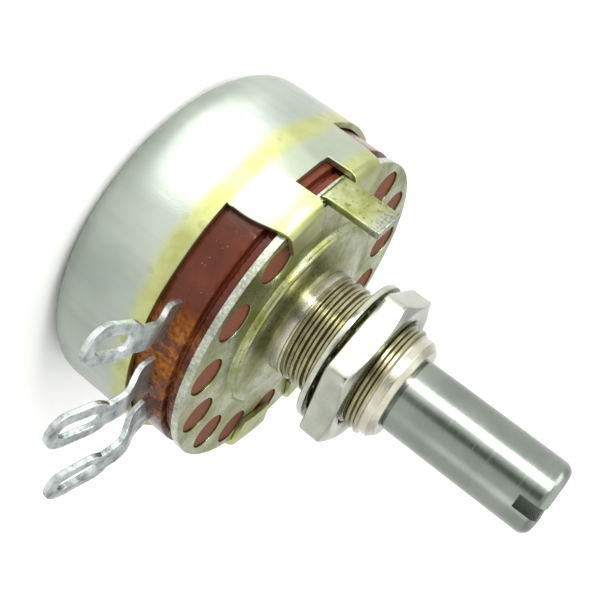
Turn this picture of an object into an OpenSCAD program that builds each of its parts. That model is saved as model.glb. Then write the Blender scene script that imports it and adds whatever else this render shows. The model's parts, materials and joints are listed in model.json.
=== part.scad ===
// Rotary potentiometer for a panel: a drawn steel can crimped over a round front plate,
// a phenolic base with three solder lugs, and a slotted shaft in a threaded bushing.
// Millimetres. The shaft axis is Z, and the can's flat back face lies on Z = 0.

/* [Can] */
// Outside diameter of the drawn can
can_d = 28; // [27:0.5:36]
// Thickness of the can's sheet
can_wall = 0.5; // [0.3:0.05:0.6]
// Depth of the body, from the can's back face to the front face of the plate
body_depth = 12.4; // [12.2:0.1:18]
// Outside radius of the can's rounded rear edge
can_edge_r = 2; // [1:0.1:2.6]
// Distance from the plate's front face back to the can's cut edge
mouth_drop = 4.4; // [3.8:0.1:4.6]

/* [Crimped ears] */
// Number of ears that fold over the front plate
ear_count = 2; // [2, 3]
// Angle that one ear covers round the can
ear_span = 48; // [34:1:60]
// How far the folded lip reaches in over the plate
ear_lip = 2.5; // [1.5:0.1:3]
// Outside radius of the fold
ear_bend_r = 0.8; // [0.7:0.05:1]
// Angle of the window in the middle of each ear
window_span = 14.5; // [13.5:0.5:20]
// Distance from the plate's front face back to the window's rear edge
window_back = 2.05; // [1:0.05:3]

/* [Front plate] */
// Thickness of the plate's sheet
plate_t = 0.6; // [0.4:0.05:0.8]
// Radial gap between the plate's rim and the can's wall
plate_gap = 0.1; // [0.05:0.05:0.3]
// Diameter of the keying holes in the plate
key_hole_d = 3.1; // [2:0.1:3.2]
// Number of keying holes
key_hole_count = 15; // [6:1:15]
// Distance from the plate's rim to the centres of the keying holes
key_hole_inset = 2.15; // [1.9:0.05:2.6]
// Direction of the first keying hole
key_hole_turn = 217.5; // [0:0.5:360]
// Height of the raised boss round the bushing
boss_h = 0.9; // [0.6:0.05:1.2]
// Height of the step at the boss's edge
boss_step_h = 0.45; // [0.2:0.05:0.55]
// Radius of the boss's edge
boss_r = 8; // [7:0.1:8.4]
// Width of the boss's flat seat round the bushing
seat_w = 1.1; // [0.6:0.1:1.6]

/* [Locating lug] */
// Direction of the locating lug and of the ear that it stands in
lug_turn = 190; // [0:1:360]
// Width of the lug
lug_w = 2.5; // [1.5:0.1:2.9]
// Length of the lug in front of the plate
lug_len = 4.4; // [2:0.1:8]
// Inside radius of the lug's bend
lug_bend_r = 0.3; // [0.2:0.05:0.5]

/* [Bushing] */
// Outside diameter of the thread
thread_d = 9; // [8.6:0.1:11]
// Length of the bushing in front of the plate's front face
bushing_len = 10.1; // [8.5:0.1:16]
// Size of the chamfer at the bushing's nose
nose_chamfer = 0.75; // [0.3:0.05:0.8]
// Distance of the flange's edge, behind the plate, inside the edge of the boss's seat
flange_inset = 0.25; // [0.25:0.05:0.4]
// Thickness of the bushing's flange
flange_t = 0.8; // [0.6:0.1:1]

/* [Shaft] */
// Diameter of the shaft
shaft_d = 6; // [5:0.05:6.4]
// Length of the shaft from the plate's front face to its end
shaft_len = 22.7; // [16:0.1:60]
// Depth by which the shaft is turned down where it runs in the bushing
journal_inset = 0.2; // [0.05:0.05:0.3]
// Gap between the bushing's nose and the shoulder in front of it
shoulder_gap = 0.15; // [0.1:0.05:0.4]
// Radial clearance of the shaft in the bushing
shaft_clearance = 0.04; // [0.02:0.01:0.1]
// Radius of the shaft's rounded end
shaft_end_r = 0.9; // [0.3:0.1:1.5]
// Width of the screwdriver slot
slot_w = 1.1; // [0.6:0.1:1.6]
// Depth of the screwdriver slot
slot_depth = 2; // [1:0.1:3]
// Direction of the screwdriver slot at mid travel
slot_turn = 250.5; // [0:0.5:360]

/* [Panel hardware] */
// Distance from the plate's front face to the rear face of the lock washer
washer_place = 4.65; // [1.3:0.05:6]
// Width of the ring and teeth of the lock washer
washer_w = 1.45; // [1.2:0.05:2.5]
// Thickness of the lock washer's sheet
washer_t = 0.5; // [0.4:0.05:0.8]
// Width of the lock washer's plain outer ring
washer_rim_w = 0.65; // [0.5:0.05:0.7]
// Number of teeth inside the lock washer
tooth_count = 14; // [8:1:16]
// Twist of the teeth out of the washer's plane
tooth_twist = 35; // [15:1:40]
// Gap that the teeth keep between the washer and the nut
nut_gap = 0.45; // [0.35:0.05:0.6]
// Wall of the nut, from the thread to its flats
nut_wall = 1.5; // [1.2:0.1:3]
// Thickness of the nut
nut_t = 2.1; // [1.5:0.1:3]
// Direction of one of the nut's corners
nut_turn = 182; // [180:1:240]
// Height of the chamfer on the nut's front corners
nut_chamfer = 0.45; // [0.2:0.05:0.6]
// Radial clearance of the nut and washer on the thread
thread_clearance = 0.05; // [0.03:0.01:0.1]

/* [Base] */
// Thickness of the phenolic base behind the plate
base_t = 4.6; // [4.4:0.1:5]
// Radial gap between the base and the can's wall
base_gap = 0.1; // [0.05:0.05:0.3]
// Distance from the plate's front face back to the base's step
base_step_drop = 1.3; // [1:0.1:1.6]
// Depth of the base's step
base_step_w = 0.4; // [0.2:0.05:0.6]
// Width and depth of the groove at the step
base_groove = 0.25; // [0.1:0.05:0.4]
// Depth of the phenolic below the plate's front face in the keying holes
key_recess = 0.12; // [0.05:0.01:0.3]

/* [Tracks] */
// Thickness of the carbon track and of the collector ring
track_t = 0.3; // [0.2:0.05:0.5]
// Distance from the base's rim to the track's outer edge
track_inset = 2.2; // [1.8:0.1:2.4]
// Width of the carbon track
track_w = 2.6; // [2:0.1:2.8]
// Angle that the carbon track covers
track_span = 328; // [324:1:332]
// Inner radius of the collector ring
collector_r = 5; // [4.8:0.1:5.2]
// Width of the collector ring
collector_w = 1.8; // [1.4:0.1:2]

/* [Terminals] */
// Direction of the middle terminal
terminal_turn = 270; // [0:1:360]
// Angle between neighbouring terminals
terminal_step = 20.5; // [19:0.5:22]
// Thickness of the terminal strip
terminal_t = 0.45; // [0.3:0.05:0.6]
// Distance from the plate's front face back to the terminals' middle
terminal_drop = 3.2; // [2.9:0.1:3.4]
// Width of a terminal where it leaves the base
terminal_root_w = 3.4; // [2.6:0.1:3.6]
// Width of a terminal at its neck
terminal_neck_w = 2.1; // [1.6:0.1:2.4]
// Width of a terminal's eye
eye_w = 3.1; // [2.6:0.1:3.6]
// Width of the opening in the eye
eye_slot_w = 1.3; // [0.8:0.1:1.6]
// Length of the opening in the eye
eye_slot_len = 2.9; // [2:0.1:3.2]
// Distance that a terminal stands out from the can
terminal_reach = 8.3; // [7:0.1:12]
// Rise of a terminal's bend in front of its root
terminal_rise = 0.7; // [0:0.1:1]
// Fall of the left, middle and right eye from the bend
terminal_fall = [0.7, 1, 1.3];

/* [Rotor] */
// Thickness of the rotor's disc
rotor_t = 2; // [1.5:0.1:2.2]
// Gap between the rotor's disc and the base
rotor_gap = 1.8; // [1.6:0.1:2]
// Gap between the rotor's edge and the base's stop
stop_gap = 0.3; // [0.2:0.05:0.5]
// Turn of the shaft from one stop to the other
shaft_travel = 270; // [240:5:300]
// Angle of the base's stop
stop_span = 44; // [30:1:50]
// Clearance between a brush and its track
brush_gap = 0.05; // [0.02:0.01:0.1]
// Width of the carbon brushes
brush_w = 1.6; // [1:0.1:1.8]
// Thickness of the contact spring
spring_t = 0.25; // [0.15:0.05:0.3]

/* [Hidden] */
$fn = 96;
eps = 0.01;
far = 80;

// Heights along the shaft
plate_front_z = body_depth;
plate_back_z = plate_front_z - plate_t;
mouth_z = plate_front_z - mouth_drop;
seat_z = plate_front_z + boss_h;
base_back_z = plate_back_z - base_t;
terminal_z = plate_front_z - terminal_drop;
rotor_front_z = base_back_z - rotor_gap;
rotor_back_z = rotor_front_z - rotor_t;
nose_z = plate_front_z + bushing_len;
shaft_end_z = plate_front_z + shaft_len;
washer_z = plate_front_z + washer_place;
nut_z = washer_z + washer_t + nut_gap;

// Radii from the shaft's axis
can_r = can_d / 2;
can_in_r = can_r - can_wall;
plate_r = can_in_r - plate_gap;
base_r = can_in_r - base_gap;
key_ring_r = plate_r - key_hole_inset;
thread_r = thread_d / 2;
shaft_r = shaft_d / 2;
journal_r = shaft_r - journal_inset;
bore_r = journal_r + shaft_clearance;
seat_r = thread_r + seat_w;
boss_foot_r = boss_r + 0.15;
rim_chamfer = max(0.1, ear_bend_r - can_wall - plate_gap);
flange_r = seat_r - flange_inset;
track_out_r = base_r - track_inset;
track_mid_r = track_out_r - track_w / 2;
collector_mid_r = collector_r + collector_w / 2;
terminal_end_r = can_r + terminal_reach;
terminal_foot_w = 1.2;

// Shaft fittings: a groove for the clip, a reduced tail and a riveted head
clip_t = 0.5;
clip_w = 1.2;
clip_groove_depth = 0.5;
clip_gap = 0.1;
clip_opening = 2.4;
clip_r = journal_r - clip_groove_depth + clip_w + 0.3;
thrust_t = 0.3;
bushing_back_z = seat_z - plate_t - flange_t;
thrust_z = bushing_back_z - clip_gap - thrust_t;
clip_z = thrust_z - clip_gap / 2 - clip_t;
tail_r = journal_r - 0.6;
tail_flat = 0.5;
head_r = shaft_r + 0.4;
head_t = 0.8;
hub_r = shaft_r + 1;
hub_gap = 0.3;

// Rotor, stops and brushes
rotor_r = track_out_r + 0.2;
stop_out_r = base_r - 0.3;
stop_in_r = rotor_r + stop_gap;
stop_touch = 1;
rotor_stop_span = 360 - shaft_travel - stop_span - stop_touch;
rotor_stop_r = stop_out_r - 0.2;
stop_z = rotor_back_z + 0.2;
brush_turn = terminal_turn + 180;
brush_front_z = base_back_z - brush_gap;
spring_front_z = rotor_front_z + spring_t;
spring_w = 3;
rivet_r = 0.6;
rivet_head_t = 0.3;
rivet_place_r = collector_mid_r + 1.8;

// Panel hardware
nut_flat_r = thread_r + nut_wall;
nut_r = nut_flat_r / cos(30);
tooth_share = 0.52;
tooth_root = 0.15;

// Plate's relief cuts beside the lug, and the angle round the lug that is kept free of holes
relief_depth = 0.6;
relief_w = lug_w + 0.6;
lug_clear_angle = 10;

// Places a child at a direction round the shaft
module around(turn) {
    rotate([0, 0, turn]) children();
}

// A tube along the shaft
module tube(r_out, r_in, z_low, z_high) {
    translate([0, 0, z_low])
        difference() {
            cylinder(r = r_out, h = z_high - z_low);
            translate([0, 0, -eps]) cylinder(r = r_in, h = z_high - z_low + 2 * eps);
        }
}

// A piece of ring that is centred on a direction
module arc_ring(r_out, r_in, z_low, z_high, turn, span) {
    around(turn - span / 2)
        rotate_extrude(angle = span)
            translate([r_in, z_low]) square([r_out - r_in, z_high - z_low]);
}

// A quarter of a bent sheet's section, round a bend's centre
module bend_section(r, x, y) {
    intersection() {
        difference() {
            circle(r = r);
            circle(r = r - can_wall);
        }
        translate([min(x, 0) * r, min(y, 0) * r]) square([r, r]);
    }
}

// Half section of the can: back, rounded edge, wall, fold, and the lip on the plate
module can_section() {
    lip_top = plate_front_z + can_wall;
    fold_z = lip_top - ear_bend_r;
    fold_r = can_r - ear_bend_r;
    lip_in_r = can_in_r - ear_lip;
    square([can_r - can_edge_r, can_wall]);
    translate([can_r - can_edge_r, can_edge_r]) bend_section(can_edge_r, 1, -1);
    translate([can_in_r, can_edge_r]) square([can_wall, fold_z - can_edge_r]);
    translate([fold_r, fold_z]) bend_section(ear_bend_r, 1, 1);
    translate([lip_in_r, plate_front_z]) square([fold_r - lip_in_r, can_wall]);
}

// A cutter that opens the can's front over an angle, from a height up
module can_cut(turn, span, z_low) {
    arc_ring(can_r + 1, can_in_r - ear_lip - 1, z_low, plate_front_z + can_wall + 1, turn, span);
}

module can() {
    ear_step = 360 / ear_count;
    color("#b3b8ac")
        difference() {
            rotate_extrude() can_section();
            for (i = [0 : ear_count - 1]) {
                can_cut(lug_turn + (i + 0.5) * ear_step, ear_step - ear_span, mouth_z);
                can_cut(lug_turn + i * ear_step, window_span, plate_front_z - window_back);
            }
        }
}

// Half section of the plate, with its stepped boss
module plate_section() {
    polygon([
        [plate_r, plate_back_z],
        [plate_r, plate_front_z - rim_chamfer],
        [plate_r - rim_chamfer, plate_front_z],
        [boss_foot_r, plate_front_z],
        [boss_r, plate_front_z + boss_step_h],
        [seat_r, seat_z],
        [thread_r, seat_z],
        [thread_r, seat_z - plate_t],
        [seat_r - plate_t / 4, seat_z - plate_t],
        [boss_r - plate_t, plate_back_z + boss_step_h],
        [boss_foot_r - plate_t, plate_back_z]
    ]);
}

// The tab that bends forward out of the plate's rim into the ear's window
module lug() {
    bend_r = lug_bend_r + plate_t;
    face_r = plate_r + plate_gap + can_wall / 2;
    root_r = face_r - bend_r;
    web_r = plate_r - relief_depth;
    around(lug_turn)
        translate([0, lug_w / 2, 0])
            rotate([90, 0, 0])
                linear_extrude(lug_w) {
                    translate([web_r - eps, plate_back_z]) square([root_r - web_r + eps, plate_t]);
                    translate([root_r, plate_back_z + bend_r])
                        intersection() {
                            difference() {
                                circle(r = bend_r);
                                circle(r = lug_bend_r);
                            }
                            translate([0, -bend_r]) square([bend_r, bend_r]);
                        }
                    translate([face_r - plate_t, plate_back_z + bend_r])
                        square([plate_t, plate_front_z + lug_len - plate_back_z - bend_r]);
                }
}

// The ring of keying holes, without the one that would cut the lug's root
module key_holes(r, z_low, z_high) {
    for (i = [0 : key_hole_count - 1]) {
        turn = key_hole_turn + i * 360 / key_hole_count;
        from_lug = abs((turn - lug_turn + 540) % 360 - 180);
        if (from_lug > lug_clear_angle)
            around(turn)
                translate([key_ring_r, 0, z_low]) cylinder(r = r, h = z_high - z_low);
    }
}

module front_plate() {
    color("#9a9f72") {
        difference() {
            rotate_extrude() plate_section();
            key_holes(key_hole_d / 2, plate_back_z - 1, plate_front_z + 1);
            around(lug_turn)
                translate([plate_r - relief_depth, -relief_w / 2, plate_back_z - 1])
                    cube([relief_depth + 1, relief_w, plate_t + 2]);
        }
        lug();
    }
}

module bushing() {
    color("#8d896a")
        difference() {
            union() {
                translate([0, 0, bushing_back_z]) cylinder(r = flange_r, h = flange_t);
                translate([0, 0, bushing_back_z])
                    cylinder(r = thread_r, h = nose_z - nose_chamfer - bushing_back_z);
                translate([0, 0, nose_z - nose_chamfer - eps])
                    cylinder(r1 = thread_r, r2 = thread_r - nose_chamfer, h = nose_chamfer + eps);
            }
            translate([0, 0, bushing_back_z - 1]) cylinder(r = bore_r, h = nose_z - bushing_back_z + 2);
        }
}

// Height of a terminal's middle line: level, then a smooth rise, then a smooth fall
function ease(t) = let (u = min(max(t, 0), 1)) u * u * (3 - 2 * u);
function terminal_line(x, fall) =
    let (start = can_r + 0.2, top = can_r + 0.3 * terminal_reach)
    terminal_z + terminal_rise * ease((x - start) / (top - start))
    - fall * ease((x - top) / (terminal_end_r - top));

// Plan of a terminal: a wide root, a neck and an eye with a round end
module terminal_plan() {
    neck_r = can_r + 0.22 * terminal_reach;
    eye_start_r = can_r + 0.42 * terminal_reach;
    eye_end_r = terminal_end_r - eye_w / 2;
    slot_end_r = terminal_end_r - (eye_w - eye_slot_w) / 2 - eye_slot_w / 2;
    slot_start_r = slot_end_r - eye_slot_len + eye_slot_w;
    difference() {
        union() {
            polygon([
                [0, -terminal_root_w / 2],
                [can_r, -terminal_root_w / 2],
                [neck_r, -terminal_neck_w / 2],
                [eye_start_r, -terminal_neck_w / 2],
                [eye_start_r, terminal_neck_w / 2],
                [neck_r, terminal_neck_w / 2],
                [can_r, terminal_root_w / 2],
                [0, terminal_root_w / 2]
            ]);
            translate([eye_start_r - eps, -eye_w / 2]) square([eye_end_r - eye_start_r + eps, eye_w]);
            translate([eye_end_r, 0]) circle(r = eye_w / 2);
        }
        translate([slot_start_r, -eye_slot_w / 2]) square([slot_end_r - slot_start_r, eye_slot_w]);
        translate([slot_start_r, 0]) circle(r = eye_slot_w / 2);
        translate([slot_end_r, 0]) circle(r = eye_slot_w / 2);
    }
}

// Side view of a terminal, from its foot on the track to its tip
module terminal_side(foot_r, fall) {
    steps = 24;
    start = can_r;
    run = terminal_end_r + 0.1 - start;
    xs = [for (i = [0 : steps]) start + run * i / steps];
    translate([foot_r - terminal_t / 2, base_back_z + track_t])
        square([terminal_t, terminal_z - terminal_t / 2 - base_back_z - track_t + eps]);
    translate([foot_r - terminal_t / 2, terminal_z - terminal_t / 2])
        square([start - foot_r + terminal_t / 2 + eps, terminal_t]);
    polygon(concat(
        [for (x = xs) [x, terminal_line(x, fall) - terminal_t / 2]],
        [for (i = [steps : -1 : 0]) [xs[i], terminal_line(xs[i], fall) + terminal_t / 2]]
    ));
}

module terminal_body(turn, foot_r, fall) {
    shank_end_r = base_r - 1.2;
    around(turn)
        intersection() {
            translate([0, terminal_root_w, 0])
                rotate([90, 0, 0]) linear_extrude(2 * terminal_root_w) terminal_side(foot_r, fall);
            translate([0, 0, -far]) linear_extrude(2 * far)
                intersection() {
                    terminal_plan();
                    union() {
                        translate([0, -terminal_foot_w / 2]) square([shank_end_r, terminal_foot_w]);
                        translate([shank_end_r - eps, -far]) square([far, 2 * far]);
                    }
                }
        }
}

module terminal_at(side) {
    foot_r = side == 0 ? collector_mid_r : track_mid_r;
    terminal_body(terminal_turn + side * terminal_step, foot_r, terminal_fall[side + 1]);
}

module terminal_left() {
    color("#9aa0a0") terminal_at(-1);
}

module terminal_middle() {
    color("#9aa0a0") terminal_at(0);
}

module terminal_right() {
    color("#9aa0a0") terminal_at(1);
}

// The two tracks from a height up to their depth in the base, as solids and as cutters
module track_ring(z_low) {
    arc_ring(track_out_r, track_out_r - track_w, z_low, base_back_z + track_t, brush_turn, track_span);
}

module collector_tube(z_low) {
    tube(collector_r + collector_w, collector_r, z_low, base_back_z + track_t);
}

module resistance_track() {
    color("#2a2725") track_ring(base_back_z);
}

module collector_ring() {
    color("#c9c4ae") collector_tube(base_back_z);
}

// Half section of the solid base, behind the plate and its boss
module base_section() {
    step_z = plate_front_z - base_step_drop;
    pocket_r = flange_r + 0.05;
    clip_room_r = clip_r + 0.6;
    difference() {
        polygon([
            [clip_room_r, base_back_z],
            [base_r, base_back_z],
            [base_r, step_z - base_groove],
            [base_r - base_step_w - base_groove, step_z - base_groove],
            [base_r - base_step_w - base_groove, step_z],
            [base_r - base_step_w, step_z],
            [base_r - base_step_w, plate_back_z],
            [boss_foot_r - plate_t, plate_back_z],
            [boss_r - plate_t, plate_back_z + boss_step_h],
            [seat_r - plate_t / 4, seat_z - plate_t],
            [clip_room_r, seat_z - plate_t]
        ]);
        translate([0, bushing_back_z - 0.05]) square([pocket_r, far]);
    }
}

module base() {
    color("#653a28")
        difference() {
            union() {
                rotate_extrude() base_section();
                key_holes(key_hole_d / 2, plate_back_z - eps, plate_front_z - key_recess);
                arc_ring(stop_out_r, stop_in_r, stop_z, base_back_z + eps, terminal_turn, stop_span);
            }
            track_ring(base_back_z - 1);
            collector_tube(base_back_z - 1);
            for (side = [-1 : 1]) terminal_at(side);
        }
}

module shaft() {
    core = shaft_end_z - shaft_end_r;
    shoulder_z = nose_z + shoulder_gap;
    journal_z = rotor_front_z + hub_gap + spring_t;
    color("#a9ada6")
        difference() {
            union() {
                translate([0, 0, journal_z]) cylinder(r = journal_r, h = shoulder_z - journal_z + eps);
                translate([0, 0, shoulder_z]) cylinder(r = shaft_r, h = core - shoulder_z);
                translate([0, 0, core - eps]) cylinder(r = shaft_r - shaft_end_r, h = shaft_end_r + eps);
                translate([0, 0, core])
                    rotate_extrude()
                        intersection() {
                            translate([shaft_r - shaft_end_r, 0]) circle(r = shaft_end_r);
                            translate([shaft_r - shaft_end_r - eps, -eps])
                                square([shaft_end_r + eps, shaft_end_r + eps]);
                        }
                shaft_tail();
                translate([0, 0, rotor_back_z - head_t]) cylinder(r = head_r, h = head_t);
            }
            around(slot_turn)
                translate([-shaft_d, -slot_w / 2, shaft_end_z - slot_depth])
                    cube([2 * shaft_d, slot_w, slot_depth + 1]);
            tube(shaft_d, journal_r - clip_groove_depth, clip_z - clip_gap / 2, clip_z + clip_t + clip_gap / 2);
        }
}

// The reduced tail with two flats that drives the rotor
module shaft_tail() {
    low = rotor_back_z - eps;
    high = rotor_front_z + hub_gap + spring_t + eps;
    intersection() {
        translate([0, 0, low]) cylinder(r = tail_r, h = high - low);
        translate([-tail_r, tail_flat - tail_r, low])
            cube([2 * tail_r, 2 * (tail_r - tail_flat), high - low]);
    }
}

module shaft_clip() {
    color("#8a8f8c")
        difference() {
            tube(clip_r, journal_r - clip_groove_depth, clip_z, clip_z + clip_t);
            translate([0, -clip_opening / 2, clip_z - 1]) cube([shaft_d, clip_opening, clip_t + 2]);
        }
}

module thrust_washer() {
    color("#b08a4a") tube(shaft_r + clip_w, bore_r, thrust_z, thrust_z + thrust_t);
}

module rotor() {
    color("#3a2c25")
        difference() {
            union() {
                translate([0, 0, rotor_back_z]) cylinder(r = rotor_r, h = rotor_t);
                arc_ring(rotor_stop_r, rotor_r - 1, rotor_back_z, rotor_front_z, brush_turn, rotor_stop_span);
                translate([0, 0, rotor_front_z - eps]) cylinder(r = hub_r, h = hub_gap + spring_t + eps);
            }
            shaft_tail();
            for (place = [-1, 1]) rivet_hole(place);
        }
}

module rivet_hole(place) {
    around(brush_turn)
        translate([rivet_place_r, place * spring_w / 4, rotor_back_z - 1])
            cylinder(r = rivet_r, h = rotor_t + spring_t + 2);
}

// Leaf spring that presses both brushes on their tracks
module contact_spring() {
    low_r = hub_r + 0.2;
    high_r = track_mid_r + brush_w / 2 + 0.2;
    color("#c28a4a")
        difference() {
            around(brush_turn)
                translate([low_r, -spring_w / 2, rotor_front_z]) cube([high_r - low_r, spring_w, spring_t]);
            for (place = [-1, 1]) rivet_hole(place);
        }
}

module spring_rivets() {
    color("#c9b26a")
        for (place = [-1, 1])
            around(brush_turn)
                translate([rivet_place_r, place * spring_w / 4, 0]) {
                    translate([0, 0, rotor_back_z]) cylinder(r = rivet_r, h = rotor_t + spring_t);
                    translate([0, 0, spring_front_z]) cylinder(r = rivet_r, h = rivet_head_t);
                }
}

module brush_at(r) {
    around(brush_turn)
        translate([r - brush_w / 2, -brush_w / 2, spring_front_z])
            cube([brush_w, brush_w, brush_front_z - spring_front_z]);
}

module track_brush() {
    color("#222222") brush_at(track_mid_r);
}

module collector_brush() {
    color("#222222") brush_at(collector_mid_r);
}

// Ring with inner teeth that twist out of its plane
module lock_washer() {
    ring_r = thread_r + washer_w;
    root_r = ring_r - washer_rim_w;
    tooth_in_r = thread_r + thread_clearance;
    tooth_w = 2 * PI * root_r / tooth_count * tooth_share;
    tooth_t = washer_t * 0.8;
    color("#c3c6bb") {
        tube(ring_r, root_r, washer_z, washer_z + washer_t);
        for (i = [0 : tooth_count - 1])
            around(i * 360 / tooth_count)
                translate([tooth_in_r, 0, washer_z + washer_t / 2])
                    rotate([tooth_twist, 0, 0])
                        translate([0, -tooth_w / 2, -tooth_t / 2])
                            cube([root_r - tooth_in_r + tooth_root, tooth_w, tooth_t]);
    }
}

// Hexagon whose front corners are cut by a cone
module panel_nut() {
    cone_r = nut_flat_r - 0.1;
    cone_spread = (nut_r - cone_r) * nut_t / nut_chamfer;
    color("#c8cbbb")
        translate([0, 0, nut_z])
            difference() {
                intersection() {
                    around(nut_turn) cylinder(r = nut_r, h = nut_t, $fn = 6);
                    cylinder(r1 = cone_r + cone_spread, r2 = cone_r, h = nut_t);
                }
                translate([0, 0, -1]) cylinder(r = thread_r + thread_clearance, h = nut_t + 2);
            }
}

can();
front_plate();
bushing();
base();
resistance_track();
collector_ring();
terminal_left();
terminal_middle();
terminal_right();
shaft();
shaft_clip();
thrust_washer();
rotor();
contact_spring();
spring_rivets();
track_brush();
collector_brush();
lock_washer();
panel_nut();
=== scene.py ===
# Rotary potentiometer: steel can, phenolic base, threaded bushing, slotted shaft and solder lugs.
import bmesh
import bpy
import json
import math
import numpy as np
from mathutils import Matrix, Vector


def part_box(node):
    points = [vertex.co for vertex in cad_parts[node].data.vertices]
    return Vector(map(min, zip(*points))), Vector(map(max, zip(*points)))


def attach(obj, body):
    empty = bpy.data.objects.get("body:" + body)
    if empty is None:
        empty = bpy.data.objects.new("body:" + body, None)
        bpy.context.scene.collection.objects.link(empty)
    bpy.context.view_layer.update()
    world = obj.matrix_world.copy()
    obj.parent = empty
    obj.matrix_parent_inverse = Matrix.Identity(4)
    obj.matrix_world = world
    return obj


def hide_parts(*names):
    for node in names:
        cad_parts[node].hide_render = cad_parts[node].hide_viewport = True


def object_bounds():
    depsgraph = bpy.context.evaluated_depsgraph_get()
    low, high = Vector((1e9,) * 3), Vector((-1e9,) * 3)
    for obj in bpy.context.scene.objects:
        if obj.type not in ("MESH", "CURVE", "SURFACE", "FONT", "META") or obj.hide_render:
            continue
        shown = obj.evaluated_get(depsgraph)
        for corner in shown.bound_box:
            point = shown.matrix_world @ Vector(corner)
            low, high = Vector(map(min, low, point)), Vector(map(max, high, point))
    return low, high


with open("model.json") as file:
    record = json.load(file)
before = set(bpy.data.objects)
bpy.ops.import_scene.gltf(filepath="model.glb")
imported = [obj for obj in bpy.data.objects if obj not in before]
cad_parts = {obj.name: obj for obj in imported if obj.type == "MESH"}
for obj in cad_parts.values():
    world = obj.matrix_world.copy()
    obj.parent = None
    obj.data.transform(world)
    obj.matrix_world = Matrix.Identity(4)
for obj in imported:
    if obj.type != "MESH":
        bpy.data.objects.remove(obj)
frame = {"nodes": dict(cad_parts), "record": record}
cadLow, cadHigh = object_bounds()
mm = 0.001
print("frame loaded")


def smooth(t):
    # level, then a smooth rise from 0 to 1, then level again
    t = np.clip(t, 0, 1)
    return t * t * (3 - 2 * t)


def polar(radius, angle, height):
    # x = radius cos angle, y = radius sin angle, z = height; angle in degrees, all in millimetres
    radius, angle, height = np.broadcast_arrays(radius, np.radians(angle), height)
    return np.stack([radius * np.cos(angle), radius * np.sin(angle), height], axis=-1)


def wobble(points, size, amount, seed):
    # a soft unevenness: three sine waves across each other, size apart, amount high
    rng = np.random.default_rng(seed)
    total = np.zeros(points.shape[:-1])
    for _ in range(7):
        way = rng.normal(size=3)
        way *= 2 * math.pi / size * rng.uniform(0.6, 1.4) / np.linalg.norm(way)
        total += np.sin(points @ way + rng.uniform(0, 2 * math.pi))
    return amount * total / math.sqrt(7)


def arcPoints(centreX, centreY, radius, fromDeg, toDeg, count):
    # an arc of a profile as (x, y) rows, angles in degrees
    angle = np.radians(np.linspace(fromDeg, toDeg, count))
    return np.stack([centreX + radius * np.cos(angle), centreY + radius * np.sin(angle)], axis=-1)


def turned(points, degrees):
    # carries points round the shaft's axis
    c, s = math.cos(math.radians(degrees)), math.sin(math.radians(degrees))
    x, y = points[..., 0], points[..., 1]
    return np.stack([x * c - y * s, x * s + y * c, points[..., 2]], axis=-1)


def gathered(row):
    # a closing row: every point at the middle of the given row
    return np.broadcast_to(row.mean(axis=0), row.shape)


def revolved(profile, angles):
    # a profile of (radius, height) rows carried round the shaft's axis
    return polar(profile[:, None, 0], angles[None, :], profile[:, None, 1])


def roundedProfile(corners, radius, count=4):
    # a closed profile of (x, y) corners, each corner cut back by radius and rounded with a quadratic curve
    corners = np.array(corners, float)
    before = np.roll(corners, 1, axis=0) - corners
    after = np.roll(corners, -1, axis=0) - corners
    lengthB = np.linalg.norm(before, axis=1, keepdims=True)
    lengthA = np.linalg.norm(after, axis=1, keepdims=True)
    reach = np.minimum(radius, 0.45 * np.minimum(lengthA, lengthB))
    start, end = corners + before / lengthB * reach, corners + after / lengthA * reach
    t = np.linspace(0, 1, count)[None, :, None]
    curve = (1 - t) ** 2 * start[:, None] + 2 * t * (1 - t) * corners[:, None] + t ** 2 * end[:, None]
    return curve.reshape(-1, 2)


def gridFaces(rows, cols, closeRows, closeCols):
    r = np.arange(rows if closeRows else rows - 1)
    c = np.arange(cols if closeCols else cols - 1)
    r, c = np.meshgrid(r, c, indexing="ij")
    r2, c2 = (r + 1) % rows, (c + 1) % cols
    return np.stack([r * cols + c, r * cols + c2, r2 * cols + c2, r2 * cols + c], axis=-1).reshape(-1, 4)


def buildPiece(name, node, body, material, patches, thickness=0, bevel=0, bevelAngle=35, weld=0.0006):
    # patches: (points[rows, cols, 3] in millimetres, closeRows, closeCols), welded into one mesh
    allPoints, allFaces, start = [], [], 0
    for points, closeRows, closeCols in patches:
        rows, cols = points.shape[:2]
        allPoints.append(points.reshape(-1, 3))
        allFaces.append(gridFaces(rows, cols, closeRows, closeCols) + start)
        start += rows * cols
    points, faces = np.concatenate(allPoints) * mm, np.concatenate(allFaces)
    mesh = bpy.data.meshes.new(name)
    mesh.from_pydata(points.tolist(), [], faces.tolist())
    shell = bmesh.new()
    shell.from_mesh(mesh)
    bmesh.ops.remove_doubles(shell, verts=shell.verts, dist=weld * mm)
    bmesh.ops.dissolve_degenerate(shell, edges=shell.edges, dist=weld * mm / 2)
    bmesh.ops.recalc_face_normals(shell, faces=shell.faces)
    shell.to_mesh(mesh)
    shell.free()
    mesh.polygons.foreach_set("use_smooth", np.ones(len(mesh.polygons), bool))
    mesh.materials.append(material)
    piece = bpy.data.objects.new(name, mesh)
    bpy.context.scene.collection.objects.link(piece)
    if thickness:
        wall = piece.modifiers.new("wall", "SOLIDIFY")
        wall.thickness, wall.offset, wall.use_even_offset = thickness * mm, -1, True
    if bevel:
        edge = piece.modifiers.new("edges", "BEVEL")
        edge.width, edge.segments, edge.limit_method = bevel * mm, 2, "ANGLE"
        edge.angle_limit, edge.harden_normals = math.radians(bevelAngle), True
    shade = piece.modifiers.new("shading", "WEIGHTED_NORMAL")
    shade.keep_sharp = True
    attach(piece, body)
    if node:
        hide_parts(node)
    return piece


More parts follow.
